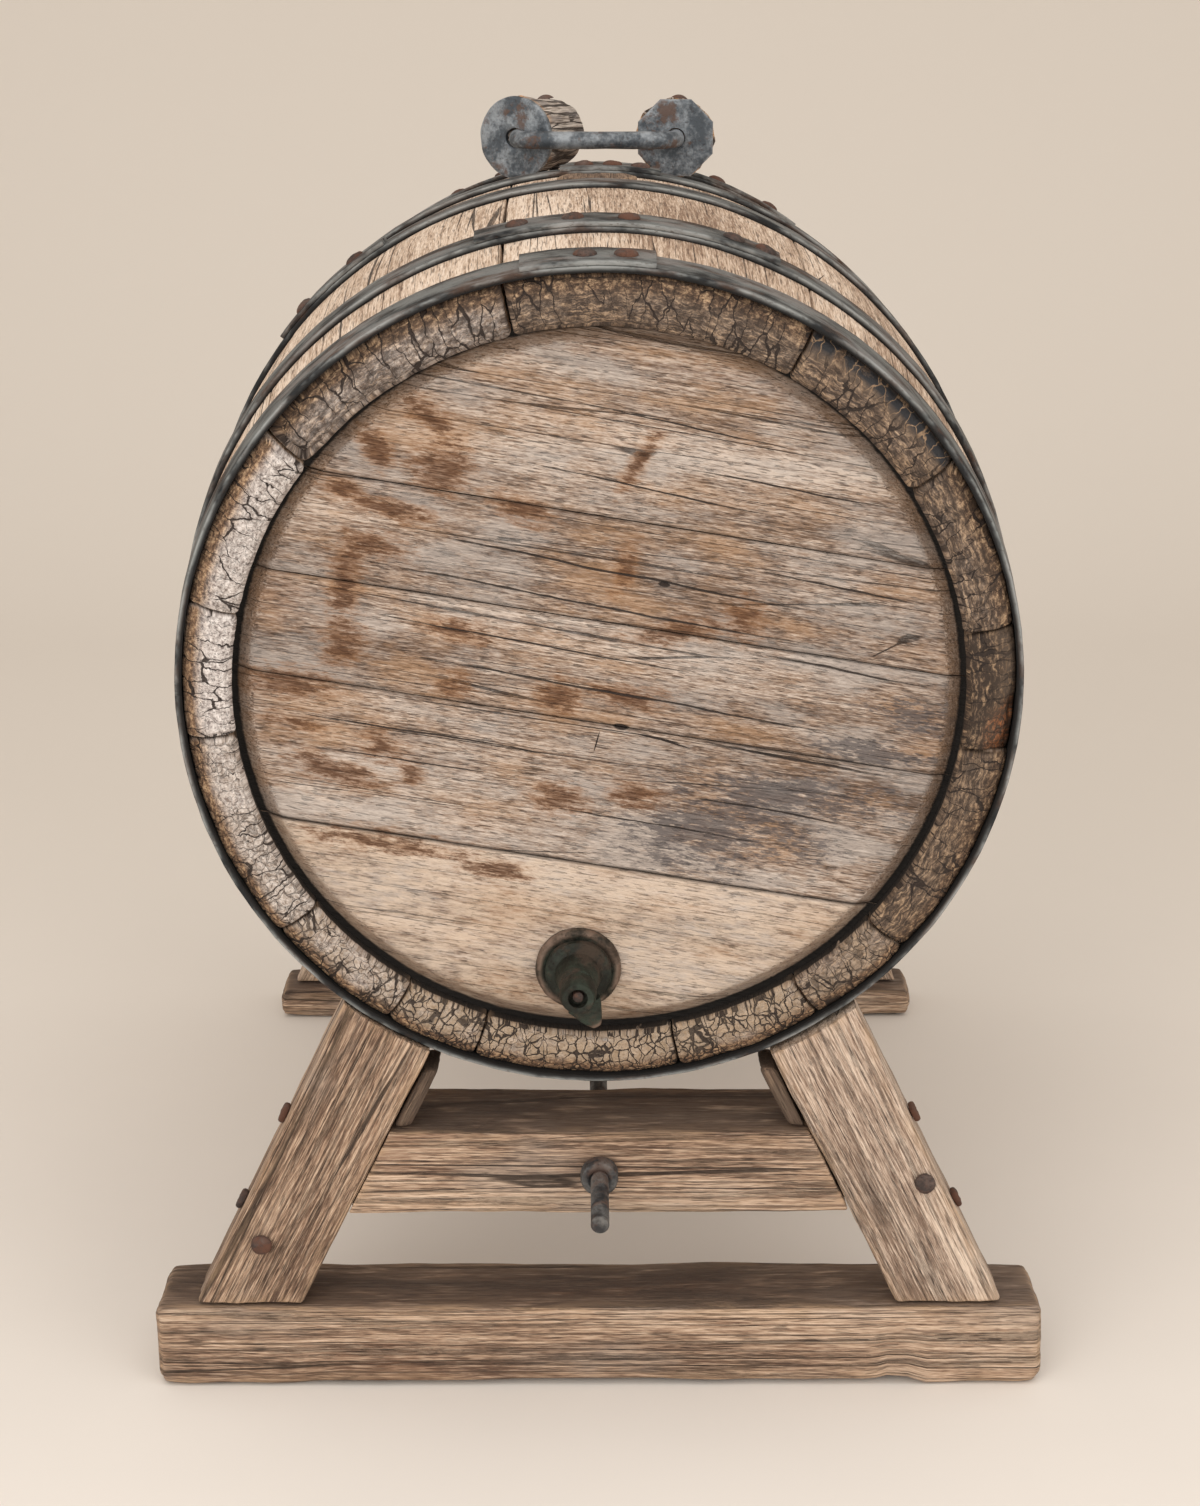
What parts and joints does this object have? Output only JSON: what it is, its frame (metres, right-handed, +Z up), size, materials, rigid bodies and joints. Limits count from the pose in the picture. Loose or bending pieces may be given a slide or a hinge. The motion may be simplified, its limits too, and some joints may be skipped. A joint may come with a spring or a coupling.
{
  "type": "wooden barrel on stand",
  "caption": "Weathered oak cask lying on a low trestle stand, with riveted iron hoops, a bronze tap in the front head, a bung and an iron carrying bail on top.",
  "frame": {"origin": "middle of the bounding box on the floor", "axes": "+X the viewer's right when facing the tap, +Y from the tap end to the back, +Z up"},
  "size_m": [0.484, 0.6842, 0.6808],
  "materials": {
    "stave_oak": "weathered",
    "head_oak": "weathered",
    "stand_oak": "worn",
    "block_oak": "weathered",
    "bung_oak": "weathered",
    "hoop_iron": "dark patina",
    "rusty_iron": "rusty",
    "handle_iron": "blue-grey patina",
    "tap_bronze": "green patina"
  },
  "bodies": {
    "cask_and_stand": {"beam_nails": "rusty_iron", "front_bilge_hoop": "hoop_iron", "front_chime_hoop": "hoop_iron", "front_cleat_left": "stand_oak", "front_cleat_right": "stand_oak", "front_crossbeam": "stand_oak", "front_foot": "stand_oak", "front_head_board_1": "head_oak", "front_head_board_2": "head_oak", "front_head_board_3": "head_oak", "front_head_board_4": "head_oak", "front_head_board_5": "head_oak", "front_leg_left": "stand_oak", "front_leg_right": "stand_oak", "front_quarter_hoop": "hoop_iron", "handle_block_left": "block_oak", "handle_block_right": "block_oak", "handle_cap_left": "handle_iron", "handle_cap_right": "handle_iron", "handle_spikes": "rusty_iron", "head_dowels": "head_oak", "hoop_rivets": "rusty_iron", "leg_nails": "rusty_iron", "rear_bilge_hoop": "hoop_iron", "rear_chime_hoop": "hoop_iron", "rear_cleat_left": "stand_oak", "rear_cleat_right": "stand_oak", "rear_crossbeam": "stand_oak", "rear_foot": "stand_oak", "rear_head_board_1": "head_oak", "rear_head_board_2": "head_oak", "rear_head_board_3": "head_oak", "rear_head_board_4": "head_oak", "rear_head_board_5": "head_oak", "rear_leg_left": "stand_oak", "rear_leg_right": "stand_oak", "rear_quarter_hoop": "hoop_iron", "stave_01": "stave_oak", "stave_02": "stave_oak", "stave_03": "stave_oak", "stave_04": "stave_oak", "stave_05": "stave_oak", "stave_06": "stave_oak", "stave_07": "stave_oak", "stave_08": "stave_oak", "stave_09": "stave_oak", "stave_10": "stave_oak", "stave_11": "stave_oak", "stave_12": "stave_oak", "stave_13": "stave_oak", "stave_14": "stave_oak", "tap_body": "tap_bronze", "tap_flange": "tap_bronze", "tap_pin": "rusty_iron", "tie_nuts": "handle_iron", "tie_rod": "handle_iron"},
    "bung": {"bung": "bung_oak"},
    "tap_key": {"tap_key": "tap_bronze"},
    "handle_bail": {"handle_bail": "handle_iron"}
  },
  "joints": [
    {"name": "tap_turn", "type": "hinge", "parent": "cask_and_stand", "child": "tap_key", "pos_m": [-0.011, -0.30203, 0.23616], "axis": [0, -0.9986, -0.0523], "range_deg": [0, 90]},
    {"name": "bung_pull", "type": "slide", "parent": "cask_and_stand", "child": "bung", "axis": [0, -0.0523, 0.9986], "range_m": [0, 0.045]},
    {"name": "bail_slide", "type": "slide", "parent": "cask_and_stand", "child": "handle_bail", "axis": [0, -0.9986, -0.0523], "range_m": [0, 0.012]}
  ]
}
